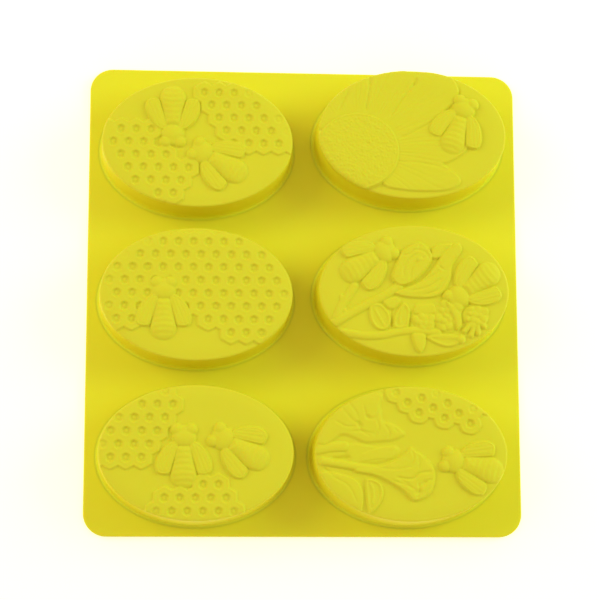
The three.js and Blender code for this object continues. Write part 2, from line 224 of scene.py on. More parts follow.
class Picture:
    """Heights of one cup's picture above the floor's smooth ground, on an even grid.

    The grid reaches past the oval by its margin.
    """

    spacing = 0.15
    margin = 3.0
    # Comb cells further out than this share of the oval are left out.
    farthest_cell = 1.14

    def __init__(self):
        reach = [half + self.margin for half in PICTURE_HALF]
        self.across = np.arange(-reach[0], reach[0] + self.spacing, self.spacing)
        self.up = np.arange(-reach[1], reach[1] + self.spacing, self.spacing)
        self.x, self.y = np.meshgrid(self.across, self.up)
        self.height = np.zeros_like(self.x)

    def window(self, points, margin):
        """The part of the grid round some points, and its x and y."""
        low, high = np.min(points, axis=0) - margin, np.max(points, axis=0) + margin
        columns = slice(*np.searchsorted(self.across, [low[0], high[0]]))
        rows = slice(*np.searchsorted(self.up, [low[1], high[1]]))
        part = (rows, columns)
        return part, self.x[part], self.y[part]

    def lay(self, part, heights):
        """Joins heights to the picture: the larger of the two at each point."""
        self.height[part] = np.maximum(self.height[part], heights)

    def pad(self, points, rise, edge=0.8, crown=0.25, reach=4.0, base=0.0):
        """A raised patch with a smooth outline through points.

        From its outline inwards it climbs to its rise over the edge by a smooth step, and swells
        by the crown over the reach as 1 less the square of what is left.
        """
        starts, ends = curve_through(points, closed=True)
        part, x, y = self.window(starts, 0.5)
        deep = distance_to(x, y, starts, ends)
        swell = 1.0 - (1.0 - np.clip(deep / reach, 0.0, 1.0)) ** 2
        heights = base + (rise - base) * smoothstep(deep / edge) + crown * swell
        self.lay(part, np.where(is_inside(x, y, starts, ends), heights, -1.0))

    def lump(self, place, half, turn, rise, base=0.0):
        """A dome with an oval outline."""
        part, x, y = self.window([place], max(half))
        u, v = turned(x, y, place, turn)
        heights = dome(u, v, *half, rise - base)
        self.lay(part, np.where(heights > 0.0, base + heights, -1.0))

    def stem(self, route, width, rise):
        """A round rib along a smooth route: rise times the root of 1 less the square of the
        distance over half the width."""
        starts, ends = curve_through(route, closed=False)
        part, x, y = self.window(starts, width)
        far = distance_to(x, y, starts, ends)
        self.lay(part, dome(far, 0.0, 0.5 * width, 1.0, rise))

    def line(self, route, depth, width=0.45, taper=0.0):
        """A groove along a smooth route, or a ridge where the depth is negative.

        Its section is a bell curve. A taper above 0 thins it towards both ends over that length.
        """
        starts, ends = curve_through(route, closed=False)
        part, x, y = self.window(starts, 3.0 * width)
        cut = depth * bell(distance_to(x, y, starts, ends), width)
        if taper:
            first = np.hypot(x - starts[0, 0], y - starts[0, 1])
            last = np.hypot(x - ends[-1, 0], y - ends[-1, 1])
            cut = cut * smoothstep((np.minimum(first, last) + 0.3 * taper) / taper)
        self.height[part] -= cut

    def lines(self, routes, depth, width=0.5, taper=0.0):
        """Like grooves along some routes."""
        for route in routes:
            self.line(route, depth, width, taper)

    def bee(self, place, turn, base=0.0):
        """A bee, which covers what is under it, lifted by the base."""
        part, x, y = self.window([place], 24.0)
        heights = bee_heights(*turned(x, y, place, turn))
        self.lay(part, np.where(heights > 0.0, base * smoothstep(heights / 0.6) + heights, -1.0))

    def comb(self, origin, turn, runs, sizes, roundness=0.25, whole_pits=0.895):
        """A patch of honeycomb with a pit in each cell.

        Cells stand on a lattice of hexagons. The patch is everything within its border of a
        cell's middle, measured as a hexagon, so its edge is scalloped. A pit falls by a smooth
        step between its mouth and its bottom, round a low knob, and a faint line runs between
        cells. Pits further out than the whole ones, as a share of the oval, grow shallow.
        """
        pitch = sizes.comb_pitch / MM
        border = 0.5 * pitch + sizes.comb_border / MM
        mouth, bottom = sizes.pit_mouth_radius / MM, sizes.pit_bottom_radius / MM
        rise, depth = sizes.comb_rise / MM, sizes.pit_depth / MM
        near = np.full_like(self.x, 99.0)
        pits = np.zeros_like(self.x)
        most = int(2 * PICTURE_HALF[0] / pitch)
        c, s = math.cos(math.radians(turn)), math.sin(math.radians(turn))
        for row, first, last in runs:
            start = -most if first is None else first
            stop = most if last is None else last
            for column in range(start, stop + 1):
                u, v = (column + 0.5 * (row % 2)) * pitch, row * pitch * math.sqrt(0.75)
                cell = (origin[0] + c * u - s * v, origin[1] + s * u + c * v)
                reach = math.hypot(cell[0] / PICTURE_HALF[0], cell[1] / PICTURE_HALF[1])
                if reach > self.farthest_cell:
                    continue
                part, x, y = self.window([cell], 1.3 * border)
                u, v = turned(x, y, cell, turn)
                near[part] = np.minimum(near[part], hexagonal(u, v, roundness))
                ring = hexagonal(u, v, 0.45)
                hole = 1.0 - smoothstep((ring - bottom) / (mouth - bottom))
                full = 1.0 - float(smoothstep((reach - whole_pits) / 0.075))
                knob = 0.25 * bell(np.hypot(u, v), 0.6)
                pits[part] = np.maximum(pits[part], full * (depth * hole - knob))
        plate = rise * smoothstep((border - near) / 0.75)
        between = 0.035 * bell(near - 0.5 * pitch, 0.5) * (near < 0.6 * pitch)
        self.lay((slice(None), slice(None)), np.where(plate > 0.0, plate - between, -1.0))
        self.height -= pits

    def eased(self, radius):
        """The heights with their corners eased: each is the mean of those around it, weighted
        by a bell curve along and then across."""
        steps = int(math.ceil(2.5 * radius / self.spacing))
        shifts = np.arange(-steps, steps + 1)
        weights = bell(shifts * self.spacing, radius)
        weights /= weights.sum()
        heights = self.height
        for axis in (0, 1):
            heights = sum(w * np.roll(heights, k, axis=axis) for k, w in zip(shifts, weights))
        return heights

    def finish(self, softness, undercut, reach):
        """Tools the outlines as a carver does: the picture gains a share of its difference from
        a copy eased over the reach, which sinks the ground round each shape. Then its corners
        are eased."""
        self.height = self.height + undercut * (self.height - self.eased(reach))
        self.height = self.eased(softness)

    def at(self, x, y):
        """Heights at any points, mixed evenly between the four grid points round each."""
        column = np.clip((x - self.across[0]) / self.spacing, 0, len(self.across) - 1.001)
        row = np.clip((y - self.up[0]) / self.spacing, 0, len(self.up) - 1.001)
        i, j = row.astype(int), column.astype(int)
        t, s = row - i, column - j
        h = self.height
        low = h[i, j] * (1 - s) + h[i, j + 1] * s
        high = h[i + 1, j] * (1 - s) + h[i + 1, j + 1] * s
        return low * (1 - t) + high * t


def bee_pair(picture, sizes):
    """Two bees between two patches of honeycomb."""
    runs = [
        (2, None, -3), (1, None, -4), (0, None, -2), (-1, None, -1), (-2, None, -1), (-3, None, -2),
        (5, 0, None), (4, 1, None), (3, 1, None), (2, 2, None), (1, 2, None),
    ]
    picture.comb((-0.6, -6.3), 0.0, runs, sizes)
    picture.bee((-10.8, 3.3), 180)
    picture.bee((2.5, -5.0), 60)


def sunflower(picture, sizes):
    """A sunflower with its seed head, and a bee: a raised patch parted into petals by grooves,
    with one more petal below it."""
    petals = [
        (-42, 3), (-38, 14), (-30, 23), (-26.5, 25.5), (-19, 26), (-10, 29.5), (0, 28.6),
        (9, 28.5), (17, 27), (20.8, 20), (19, 13.5), (24, -1), (24, -7), (17, -12.2), (8, -14.4),
        (-10, -13), (-30, -5),
    ]
    lower_petal = [
        (-10, -8), (2, -9), (11, -12), (20, -18.4), (20.4, -22.5), (13, -25.6), (-4, -25.6),
        (-14, -22),
    ]
    for outline in (petals, lower_petal):
        picture.pad(outline, 0.75, crown=0.15)
    rays(picture)
    picture.lines((
        [(-27.2, 20), (-30, 15), (-32.4, 10)],
        [(-18.8, 23), (-19.6, 16), (-20.6, 9.5)],
        [(1.5, 23.5), (-3.4, 17), (-10, 7.6)],
        [(21, 21.5), (20.6, 18), (17.4, 12.6), (10, 6.6), (-2, -0.4), (-6, -1.6)],
    ), 0.34, taper=3.0)
    picture.line([(-8, -12.4), (0, -12.8), (6, -13.4), (13, -14.6)], 0.2, 0.45, taper=3.0)
    picture.lines((
        [(1.8, 24.4), (0.8, 22.4)], [(17, 12.6), (14.6, 10.4)], [(-18.6, 24.5), (-18.6, 22.5)],
    ), 0.6, width=0.8)
    seed_head(picture, (-24.4, -8.2), (19.1, 17.8))
    picture.bee((22.6, 11.2), -19, base=0.5)


def rays(picture):
    """Fine grooves along the petals. They spread from the middle of the seed head: the depth
    follows the cube of a cosine of the angle round it, which waves a little with the distance."""
    middle = (-24.5, -7.5)
    u, v = picture.x - middle[0], picture.y - middle[1]
    far, angle = np.hypot(u, v), np.arctan2(v, u)
    wave = 0.5 + 0.5 * np.cos(angle * 88 + 0.9 * np.sin(far * 0.21) + 1.4 * np.sin(angle * 7))
    strength = 0.6 + 0.4 * np.sin(angle * 23 + far * 0.15)
    depth = 0.12
    grooves = depth * wave**3 * strength
    on_petals = smoothstep((picture.height - 0.6) / 0.2) * smoothstep((far - 17.0) / 3.0)
    picture.height -= grooves * on_petals * smoothstep((50.0 - far) / 9.0)


def seed_head(picture, middle, half):
    """A low dome with a smooth border, packed with seeds.

    Seed n stands at the golden angle times n round the head, as far out as the root of n, a
    little off its place. A seed is a bump, and between seeds the head is pitted. One seed near
    the middle is missing.
    """
    part, x, y = picture.window([middle], 20.0)
    u, v = x - middle[0], y - middle[1]
    radius = np.hypot(u / half[0], v / half[1])
    edge = smoothstep((1.0 - radius) * min(half) / 1.4)
    head = 1.5 * edge + 0.35 * (1.0 - radius**2)
    chance = np.random.default_rng(11)
    count = 560
    out = np.sqrt((np.arange(count) + 0.5) / count) * 0.87
    angle = np.arange(count) * GOLDEN_ANGLE
    astray = 0.22
    seeds_u = out * np.cos(angle) * half[0] + chance.normal(0.0, astray, count)
    seeds_v = out * np.sin(angle) * half[1] + chance.normal(0.0, astray, count)
    tall = chance.uniform(0.25, 1.0, count)
    bumps = np.zeros_like(u)
    for seed_u, seed_v, strength in zip(seeds_u, seeds_v, tall):
        near, _, _ = picture.window([(seed_u + middle[0], seed_v + middle[1])], 1.8)
        rows = slice(near[0].start - part[0].start, near[0].stop - part[0].start)
        columns = slice(near[1].start - part[1].start, near[1].stop - part[1].start)
        away = np.hypot(u[rows, columns] - seed_u, v[rows, columns] - seed_v)
        bumps[rows, columns] = np.maximum(bumps[rows, columns], strength * bell(away, 0.62))
    seed_rise, smooth_border = 0.32, 0.93
    texture = seed_rise * (bumps - 0.55) * smoothstep((smooth_border - radius) / 0.05)
    spot = 0.35 * bell(np.hypot(x + 20.2, y + 5.0), 0.9)
    picture.lay(part, np.where(radius < 1.0, head + texture - spot, -1.0))


def honeycomb(picture, sizes):
    """A bee on honeycomb that leaves a bare patch at the bottom."""
    runs = [
        (4, None, None), (3, None, None), (2, None, None), (1, None, None), (0, None, None),
        (-1, None, None), (-2, None, -4), (-2, 1, None), (-3, 2, None),
    ]
    picture.comb((-1.4, 0.0), 0.0, runs, sizes)
    picture.bee((-13.9, 1.2), 0)


def tulip(picture, sizes):
    """Two tulips on a stem, leaves, two blossoms, and two bees."""
    picture.stem([(-7, 1.5), (-14, -3), (-21, -6.6), (-28, -10.6), (-34.5, -14.5)], 3.9, 1.0)
    picture.stem([(-26, 1.5), (-29, -3), (-32, -8), (-33.5, -12)], 3.6, 0.8)
    picture.stem([(-31.5, -3), (-31, -7), (-30, -10)], 2.0, 0.6)
    lower_stem = [(-31, -18.6), (-22, -20), (-14, -19.7), (-6, -18), (2, -17.6), (10, -18.4)]
    picture.stem(lower_stem, 3.4, 0.85)
    picture.pad([(-14, -5), (-10, -9), (-6, -5.4), (-8, -2.6)], 0.6)
    right_tulip = [
        (-9, -1), (2, 4), (8, 10), (13, 17.5), (19, 21.2), (21, 18), (16.8, 11), (15.5, 4),
        (10, -2.8), (-2, -3.6),
    ]
    picture.pad(right_tulip, 0.9, crown=0.45, reach=5.0)
    picture.pad([(7.4, 14), (8, 19), (12.5, 20.9), (17, 20.3), (12, 14.5)], 0.95, crown=0.2)
    picture.lines((
        [(9.5, 12.5), (12, 16), (15, 19)],
        [(2, 3.2), (8, 6.5), (11.5, 9.5)],
        [(-2, -0.5), (6, 1.5), (12, 5.5)],
        [(4, -2.2), (10, 0.2), (13.6, 4.5)],
        [(10.2, 11), (13.2, 8.8)],
    ), 0.3, taper=2.5)
    left_tulip = [
        (-10, 5), (-8.5, 10.5), (-6, 16.5), (-2, 20), (3, 21.3), (7, 18), (7.8, 13), (1, 4.5),
        (-6, 1.5),
    ]
    picture.pad(left_tulip, 1.25, crown=0.45, reach=4.5)
    picture.lines((
        [(-5.5, 15.2), (-2.5, 15.6), (0.5, 17.6), (4.5, 16.8), (6.5, 14)],
        [(-5, 6), (-4.2, 10.4), (-1.2, 14.2), (2, 16)],
        [(-2, 4.6), (-1.2, 9), (1.6, 13), (4.6, 14.4)],
        [(1.8, 17.6), (2.6, 20.8)],
    ), 0.3, taper=2.5)
    picture.lump((2.2, 13.6), (1.7, 1.5), 0, 1.95, base=1.2)

    wide_leaf = [
        (-19.5, -6.8), (-15, -5.8), (-11.2, -9.4), (-10.2, -14), (-13, -17.8), (-17.2, -16.8),
        (-19.8, -12),
    ]
    leaf(picture, wide_leaf, [(-17.6, -8), (-15.4, -12), (-13, -16)])
    leaf(picture, [(-4.5, -5.3), (-8, -9), (-9.6, -14), (-8.4, -17), (-3, -16), (-1.8, -9)],
         [(-5, -7.4), (-6.4, -11), (-6.6, -15)])
    picture.line([(-9.9, -8.5), (-9.9, -16)], 0.45, 0.5)
    picture.line([(-2.0, -10), (-2.5, -15.4)], 0.5, 0.6)
    low_leaf = [(4.6, -20.5), (9, -23.6), (14, -24.9), (19, -23.4), (21, -20.6), (16, -19), (9, -18.8)]
    leaf(picture, low_leaf, [(7, -20.4), (13, -20.6), (18, -21)])
    thorn = [(-1.4, -19), (-0.4, -24.5), (2, -27.6), (4.4, -24), (4.4, -19)]
    picture.pad(thorn, 0.85, crown=0.4, reach=2.6)

    cluster(picture, (14.2, -11.2), (6.2, 7.6), 1.15, 13, seed=3)
    curled_petal = [
        (12.6, -4.2), (17, -6.2), (20, -10.5), (20.4, -15), (18, -17.6), (16.6, -13), (14.6, -9),
    ]
    picture.pad(curled_petal, 1.3, crown=0.35, reach=2.6)
    cluster(picture, (4.2, -13.6), (5.0, 3.9), 1.0, 9, seed=5)
    flat_petal = [(-0.4, -10.4), (0.2, -6.2), (4, -5.6), (8.6, -6), (9.4, -9.8), (5, -10.8)]
    picture.pad(flat_petal, 0.5, crown=0.2)
    cluster(picture, (26.2, -11.2), (5.8, 5.2), 1.15, 11, seed=8)
    root = (26.0, -12.0)
    for tip in ((21.5, -17.5), (24.3, -19.4), (27.4, -18.4), (30.2, -15.6)):
        picture.stem([root, ((root[0] + tip[0]) / 2 + 0.4, (root[1] + tip[1]) / 2), tip], 2.5, 1.05)
    picture.lump((19.8, -21.2), (2.1, 2.0), 0, 1.3)
    picture.bee((-13.3, 16.7), -58)
    picture.bee((19.5, -2.5), 128)


def leaf(picture, outline, vein):
    """A leaf with a raised edge: a patch, hollowed inside its edge, with a vein as a ridge."""
    starts, ends = curve_through(outline, closed=True)
    part, x, y = picture.window(starts, 0.5)
    deep = distance_to(x, y, starts, ends)
    heights = 0.85 * smoothstep(deep / 0.8) - 0.3 * smoothstep((deep - 0.9) / 1.0)
    picture.lay(part, np.where(is_inside(x, y, starts, ends), heights, -1.0))
    picture.line(vein, -0.28, 0.5, taper=2.0)


def cluster(picture, middle, half, rise, count, seed):
    """A lumpy blossom: a low dome crowded with round lumps at uneven heights."""
    picture.lump(middle, half, 0, 0.9 * rise)
    chance = np.random.default_rng(seed)
    out = np.sqrt((np.arange(count) + 0.4) / count) * 0.78
    angle = np.arange(count) * GOLDEN_ANGLE + seed
    base = 0.5 * rise
    for ring, turn in zip(out, angle):
        across, up = half[0] * ring * math.cos(turn), half[1] * ring * math.sin(turn)
        place = (middle[0] + across, middle[1] + up)
        size = chance.uniform(1.5, 2.2)
        lump_half, lump_turn = (size, size * chance.uniform(0.7, 1.0)), chance.uniform(0, 180)
        top = base + rise * (0.65 - 0.3 * ring**2) + chance.uniform(0.0, 0.15)
        picture.lump(place, lump_half, lump_turn, top, base=base)


def comb_corner(picture, sizes):
    """Two bees side by side, with honeycomb in a corner and along the bottom."""
    runs = [
        (7, None, -3), (6, None, -2), (5, None, -3), (4, None, -3), (3, None, -4), (2, None, -4),
        (0, 0, 1), (-1, -3, 1), (-2, -3, 2),
    ]
    picture.comb((2.95, -13.6), 0.0, runs, sizes, whole_pits=0.93)
    picture.bee((-5.2, 6.2), 0)
    picture.bee((11.6, 5.8), 60)


def lily(picture, sizes):
    """Two open flowers on one stem, two leaves, a bee, and a piece of honeycomb."""
    runs = [(2, -1, None), (1, -1, None), (0, 0, None), (-1, 1, None), (-2, 3, 3)]
    picture.comb((3.2, 17.3), 18.5, runs, sizes, roundness=0.6)
    upper_flower = [
        (-41, 4.8), (-37, 2.6), (-33.2, 4.8), (-29.5, 7.2), (-25, 6), (-20, 4), (-13, 4.4),
        (-7, 5.2), (-2.5, 7.8), (-4.5, 11), (-9, 13.5), (-12, 14.5), (-12.5, 20), (-12.5, 26),
        (-24, 25.5), (-38, 16),
    ]
    picture.pad(upper_flower, 0.5, edge=1.5, crown=0.4)
    picture.lines((
        [(-13.2, 24.5), (-13.4, 19.5), (-15.4, 15.2), (-18.8, 15)],
        [(-22.5, 14), (-21.4, 9.6), (-17.4, 7.2)],
        [(-30, 20), (-26, 15), (-23, 12.5)],
        [(-33, 14), (-28, 11.5), (-23.5, 11.5)],
        [(-15, 15), (-14, 10.6), (-16.5, 6.4)],
        [(-12, 13), (-9.5, 9), (-10.5, 6)],
        [(-8, 12), (-5.6, 8.6)],
        [(-26, 9.2), (-21, 9.4), (-16, 8.2)],
        [(-20.5, 21), (-19.6, 17), (-19.4, 14.6)],
        [(-27, 22), (-24, 18), (-22.6, 15)],
    ), 0.24, width=0.55, taper=3.0)
    picture.line([(-22.8, 12.9), (-21.8, 11.8)], 0.5, 0.8)
    picture.line([(-18.9, 15.6), (-18.2, 15.2)], 0.5, 0.7)

    picture.stem([(-40, 1.5), (-34, 2.6), (-28.6, 2.8)], 4.2, 0.75)
    tuft = [(-27, 4.4), (-16, 3.4), (-6, 3.2), (-6, -1.5), (-15, -4.6), (-27, -4.2)]
    picture.pad(tuft, 0.35, edge=1.4, crown=0.2)
    for k in range(8):
        tip = (-6.0 - 0.25 * k, 3.4 - 0.75 * k)
        root = (-22.0, -0.6 - 0.42 * k)
        bend = ((root[0] + tip[0]) / 2, (root[1] + tip[1]) / 2 + 0.6)
        picture.line([root, bend, tip], -0.2, 0.35, taper=3.0)
    picture.stem([(-38, -3.4), (-30, -4.6), (-22, -6.0), (-14, -7.0)], 3.6, 1.2)
    bell_flower = [
        (-24, -5.4), (-15, -5.0), (-8, -2.6), (-3.5, 0.4), (-0.5, 3.2), (1.8, 1.6), (5.6, -0.8),
        (9.4, -5), (10.2, -10), (8.6, -16), (5.4, -19.2), (0.6, -20.6), (-3.6, -16.8), (-9, -13.2),
        (-16, -10), (-24, -8.4),
    ]
    picture.pad(bell_flower, 1.0, edge=1.2, crown=0.45, reach=4.5)
    for route, depth in (
        ([(-6.6, -10.2), (0, -10.8), (3, -8.4), (9, -7.6)], 0.4),
        ([(-8.4, -11.6), (-3, -13.2), (1.6, -15.4)], 0.3),
        ([(-5.6, -10.9), (-1, -13.2)], 0.3),
        ([(1.6, -19.8), (3, -16.4), (2.6, -11.8)], 0.3),
        ([(4.6, -13.2), (7.2, -11.4), (9.4, -11.2)], 0.34),
        ([(5.2, -18.4), (7.0, -15.2), (9.0, -14.4)], 0.26),
        ([(5.6, -1.2), (7.4, -4.4), (9.6, -5.8)], 0.3),
        ([(-0.4, 2.4), (0.8, -2), (-1.0, -5.6)], 0.2),
        ([(-14, -6.2), (-6, -6.6), (0.8, -5.4)], 0.16),
        ([(2.6, -0.4), (3.2, -4.2), (2.4, -7.2)], 0.2),
    ):
        picture.line(route, depth, 0.5, taper=2.5)
    picture.line([(1.9, -16.6), (3.1, -16.2)], 0.5, 1.0)
    picture.line([(3.6, -13.6), (5.0, -12.2)], 0.35, 1.0)
    picture.line([(-33, -2.4), (-27, -1.9)], 0.6, 0.9)
    outer_leaf = [(-39, -7.8), (-27, -9.4), (-22.0, -13), (-20.6, -19), (-23, -26), (-36, -18)]
    picture.pad(outer_leaf, 0.75, crown=0.3)
    picture.line([(-34, -9.8), (-27, -14), (-23.4, -21)], 0.2, 0.5, taper=3.0)
    picture.line([(-37, -6.6), (-34.5, -8.6)], 0.4, 0.5)
    inner_leaf = [
        (-19.8, -10.6), (-14, -11.8), (-12.0, -16.5), (-14, -22), (-18.4, -25.4), (-19.9, -17),
    ]
    leaf(picture, inner_leaf, [(-18.2, -12), (-16.6, -16), (-17.0, -22)])
    picture.bee((18.4, -3.2), 76)


PICTURES = {
    "bee_pair": bee_pair,
    "sunflower": sunflower,
    "honeycomb": honeycomb,
    "tulip": tulip,
    "comb_corner": comb_corner,
    "lily": lily,
}


# ---------------------------------------------------------------------------------------------
# Surfaces


def concentric(columns, rows):
    """The points of a square grid bent into a disc, as a signed radius from -1 to 1 and an angle.

    Left and right of the diagonals the radius is u and the angle an eighth of a turn times v/u.
    Above and below them the radius is v and the angle a quarter turn less an eighth times u/v.
    """
    u, v = np.meshgrid(np.linspace(-1, 1, columns + 1), np.linspace(-1, 1, rows + 1))
    sideways = np.abs(u) >= np.abs(v)
    big, small = np.where(sideways, u, v), np.where(sideways, v, u)
    swing = np.divide(small, big, out=np.zeros_like(u), where=big != 0) * (math.pi / 4)
    return big, np.where(sideways, swing, math.pi / 2 - swing)


def grid_rim(columns, rows):
    """The numbers of a grid's outermost points, anticlockwise from its first corner."""
    grid = np.arange((columns + 1) * (rows + 1)).reshape(rows + 1, columns + 1)
    return np.concatenate([grid[0, :-1], grid[:-1, -1], grid[-1, :0:-1], grid[:0:-1, 0]])


def grid_faces(columns, rows):
    """The four-sided faces of a grid, facing up."""
    grid = np.arange((columns + 1) * (rows + 1)).reshape(rows + 1, columns + 1)
    corners = (grid[:-1, :-1], grid[:-1, 1:], grid[1:, 1:], grid[1:, :-1])
    return np.stack([c.ravel() for c in corners], axis=1)


def strip_faces(inner, outer):
    """Four-sided faces between two rings of as many points, facing up where outer is outside."""
    return np.stack([inner, outer, np.roll(outer, -1), np.roll(inner, -1)], axis=1)


def halving_faces(fine, coarse):
    """Three-sided faces between a ring and one with half as many points, turned as in a strip."""
    here, middle, after = fine[::2], fine[1::2], np.roll(fine, -2)[::2]
    following = np.roll(coarse, -1)
    return np.vstack([
        np.stack([here, coarse, middle], axis=1),
        np.stack([middle, coarse, following], axis=1),
        np.stack([middle, following, after], axis=1),
    ])


def quarter(start, bulge, end, steps):
    """A quarter of an ellipse from start to end as (offset, z) points, without the start.

    Each point is the far corner plus the sine and cosine shares of the two half axes.
    """
    t = np.linspace(0.0, math.pi / 2, steps + 1)[1:, None]
    start, bulge, end = (np.array(p, float) for p in (start, bulge, end))
    centre = start + end - bulge
    return centre + (start - centre) * np.cos(t) + (end - centre) * np.sin(t)


def make_piece(name, points, faces, sharp_rings=()):
    """A mesh piece from points in millimetres and arrays of faces with as many corners each.

    An edge with both ends in one of the sharp rings is sharp. Everything else is shaded smooth.
    """
    mesh = bpy.data.meshes.new(name)
    counts = np.concatenate([np.full(len(f), f.shape[1]) for f in faces])
    corners = np.concatenate([f.ravel() for f in faces]).astype(np.int32)
    mesh.vertices.add(len(points))
    mesh.vertices.foreach_set("co", (np.asarray(points) * MM).astype(np.float32).ravel())
    mesh.loops.add(len(corners))
    mesh.loops.foreach_set("vertex_index", corners)
    mesh.polygons.add(len(counts))
    starts = np.concatenate([[0], np.cumsum(counts)[:-1]]).astype(np.int32)
    mesh.polygons.foreach_set("loop_start", starts)
    mesh.update(calc_edges=True)
    if mesh.validate():
        raise RuntimeError(f"{name} has faces that don't hold")
    mesh.shade_smooth()
    ends = np.empty(2 * len(mesh.edges), np.int32)
    mesh.edges.foreach_get("vertices", ends)
    ends = ends.reshape(-1, 2)
    sharp = np.zeros(len(mesh.edges), bool)
    for ring in sharp_rings:
        member = np.zeros(len(points), bool)
        member[ring] = True
        sharp |= member[ends].all(axis=1)
    if sharp.any():
        mark = mesh.attributes.new("sharp_edge", "BOOLEAN", "EDGE")
        mark.data.foreach_set("value", sharp)
    piece = bpy.data.objects.new(name, mesh)
    bpy.context.scene.collection.objects.link(piece)
    return piece


class CupProfile:
    """The section of a cup, as offsets from its oval at heights. It matches the CAD wall."""

    def __init__(self, sizes):
        self.half = (0.5 * sizes.cup_length / MM, 0.5 * sizes.cup_width / MM)
        self.top = sizes.cup_height / MM
        self.foot = (sheet_high.z - sheet_low.z) / MM
        self.draft = sizes.cup_draft / MM
        self.wall = sizes.wall_thickness / MM
        self.floor = sizes.floor_thickness / MM
        self.edge = sizes.floor_edge_round / MM
        self.shoulder = sizes.shoulder / MM
        self.shoulder_reach = sizes.shoulder_reach / MM
        self.fillet = sizes.foot_fillet / MM
        self.corner = sizes.cavity_fillet / MM
        self.mouth = sizes.mouth_round / MM

    def outside(self, z):
        """How far the wall stands out from the oval: the draft, shared evenly over the height."""
        return self.draft * (self.top - z) / (self.top - self.foot)

    def ring(self, offset, angle):
        """Points of the oval moved out by an offset: each half axis grows by it."""
        return (self.half[0] + offset) * np.cos(angle), (self.half[1] + offset) * np.sin(angle)

    def down_outside(self):
        """(offset, z) points from the foot of the rounded edge to the sheet."""
        edge_foot = self.top - self.edge
        fillet_top = self.foot + self.fillet
        heights = np.linspace(edge_foot, fillet_top, 6)[1:]
        wall = np.stack([self.outside(heights), heights], axis=1)
        start = (self.outside(fillet_top), fillet_top)
        end = (self.outside(self.foot) + self.fillet, self.foot)
        return np.vstack([wall, quarter(start, (start[0], end[1]), end, 8)])

    def up_inside(self):
        """(offset, z) points from the cavity's mouth on the sheet to its floor."""
        ceiling = self.top - self.floor
        corner_foot = ceiling - self.corner
        heights = np.linspace(self.foot, corner_foot, 4)[1:]
        wall = np.stack([self.outside(heights) - self.wall, heights], axis=1)
        start = (self.outside(corner_foot) - self.wall, corner_foot)
        end = (self.outside(ceiling) - self.wall - self.corner, ceiling)
        return np.vstack([wall, quarter(start, (start[0], end[1]), end, 7)])


def cup_skin(name, picture, profile, centre):
    """One cup as a closed shell.

    Its top is a disc of grid points at the floor's height plus the picture's. Rings of points
    carry on down the rounded edge, where the picture stands along the surface's own direction
    and fades out, down the wall and its fillet, under the foot, and up the cavity to a second
    disc, which repeats the picture one floor thickness lower and fades it out at its border.
    """
    columns, rows = TOP_CELLS
    points, faces = [], []

    def add(x, y, z):
        first = sum(len(p) for p in points)
        z = np.broadcast_to(z, np.shape(x))
        points.append(np.stack([np.ravel(x), np.ravel(y), np.ravel(z)], axis=1))
        return first + np.arange(np.size(x))

    stretch = (profile.half[0] / PICTURE_HALF[0], profile.half[1] / PICTURE_HALF[1])

    def relief(x, y):
        return picture.at(x / stretch[0], y / stretch[1])

    edge_foot = profile.top - profile.edge
    brink = profile.outside(edge_foot) - profile.edge
    radius, angle = concentric(columns, rows)
    rim_x, rim_y = profile.ring(brink, angle)
    x, y = radius * rim_x, radius * rim_y
    from_rim = (1.0 - np.abs(radius)) * np.hypot(rim_x, rim_y)
    fall = profile.shoulder * (1.0 - np.clip(from_rim / profile.shoulder_reach, 0.0, 1.0)) ** 2
    top = add(x, y, profile.top + relief(x, y) - fall)
    rim = grid_rim(columns, rows)
    faces.append(grid_faces(columns, rows))
    across = x.ravel()[rim] / (profile.half[0] + brink)
    up = y.ravel()[rim] / (profile.half[1] + brink)
    around = np.arctan2(up, across)
    out_x, out_y = profile.half[1] * np.cos(around), profile.half[0] * np.sin(around)
    length = np.hypot(out_x, out_y)
    out_x, out_y = out_x / length, out_y / length

    ring = top[rim]

    def carry_on(x, y, z):
        nonlocal ring
        following = add(x, y, z)
        faces.append(strip_faces(ring, following))
        ring = following

    for k in range(1, EDGE_STEPS + 1):
        lean = 0.5 * math.pi * k / EDGE_STEPS
        x, y = profile.ring(brink + profile.edge * math.sin(lean), around)
        stand = relief(x, y) * math.cos(lean) ** 1.5
        z = edge_foot + (profile.edge - profile.shoulder) * math.cos(lean) + stand * math.cos(lean)
        carry_on(x + stand * math.sin(lean) * out_x, y + stand * math.sin(lean) * out_y, z)
    for offset, z in profile.down_outside():
        carry_on(*profile.ring(offset, around), z)
    foot_ring = ring
    inner_angle = around[::2]
    mouth = profile.outside(profile.foot) - profile.wall
    ring = add(*profile.ring(mouth, inner_angle), profile.foot)
    mouth_ring = ring
    faces.append(halving_faces(foot_ring, mouth_ring))
    inside = profile.up_inside()
    for offset, z in inside[:-1]:
        carry_on(*profile.ring(offset, inner_angle), z)

    columns, rows = columns // 2, rows // 2
    radius, angle = concentric(columns, rows)
    rim_x, rim_y = profile.ring(inside[-1][0], angle)
    x, y = radius * rim_x, radius * rim_y
    border = 1.5
    fade = smoothstep((1.0 - np.abs(radius)) * profile.half[1] / border)
    under = add(x, y, inside[-1][1] + relief(x, y) * fade)
    faces.append(strip_faces(ring, under[grid_rim(columns, rows)]))
    faces.append(grid_faces(columns, rows)[:, ::-1] + under[0])
    quads = np.vstack([f for f in faces if f.shape[1] == 4])
    triangles = np.vstack([f for f in faces if f.shape[1] == 3])
    place = np.array([centre[0], centre[1], 0.0])
    return make_piece(name, np.vstack(points) + place, [quads, triangles], [foot_ring, mouth_ring])


